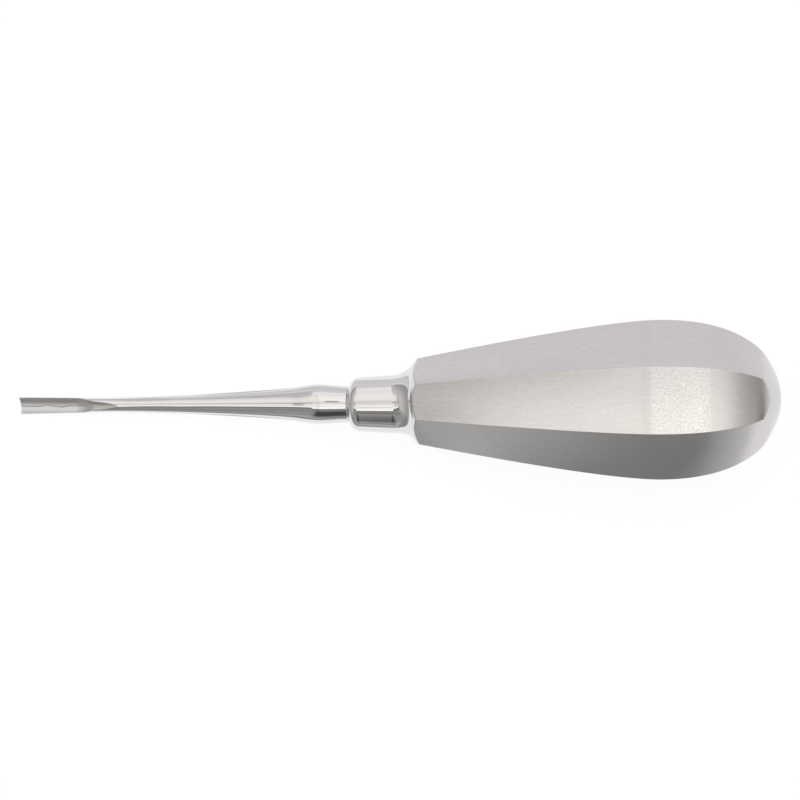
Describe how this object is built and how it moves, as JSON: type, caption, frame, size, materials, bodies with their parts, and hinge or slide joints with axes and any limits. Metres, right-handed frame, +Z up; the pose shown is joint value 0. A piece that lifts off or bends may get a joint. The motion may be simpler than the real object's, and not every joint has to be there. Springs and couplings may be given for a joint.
{
  "type": "straight dental elevator",
  "caption": "straight elevator with a hollow-ground gouge blade, tapered shank, polished ferrule and a faceted pear-shaped metal handle",
  "frame": {"origin": "on the table under the middle of the tool, at the bottom centre of its bounding box as it lies at rest", "axes": "+X runs from the blade's tip towards the butt of the handle, +Z is up, +Y points to the tool's left seen from the butt; the tool's own axis climbs about 6.8 degrees towards the butt"},
  "size_m": [0.1442, 0.0296, 0.0301],
  "materials": {
    "polished_steel": "bright polished stainless steel of the blade, shank and ferrule",
    "satin_steel": "satin stainless steel of the handle, brushed along its facets"
  },
  "bodies": {
    "root": {"blade_shank": "polished_steel", "ferrule": "polished_steel", "handle": "satin_steel"}
  },
  "joints": []
}
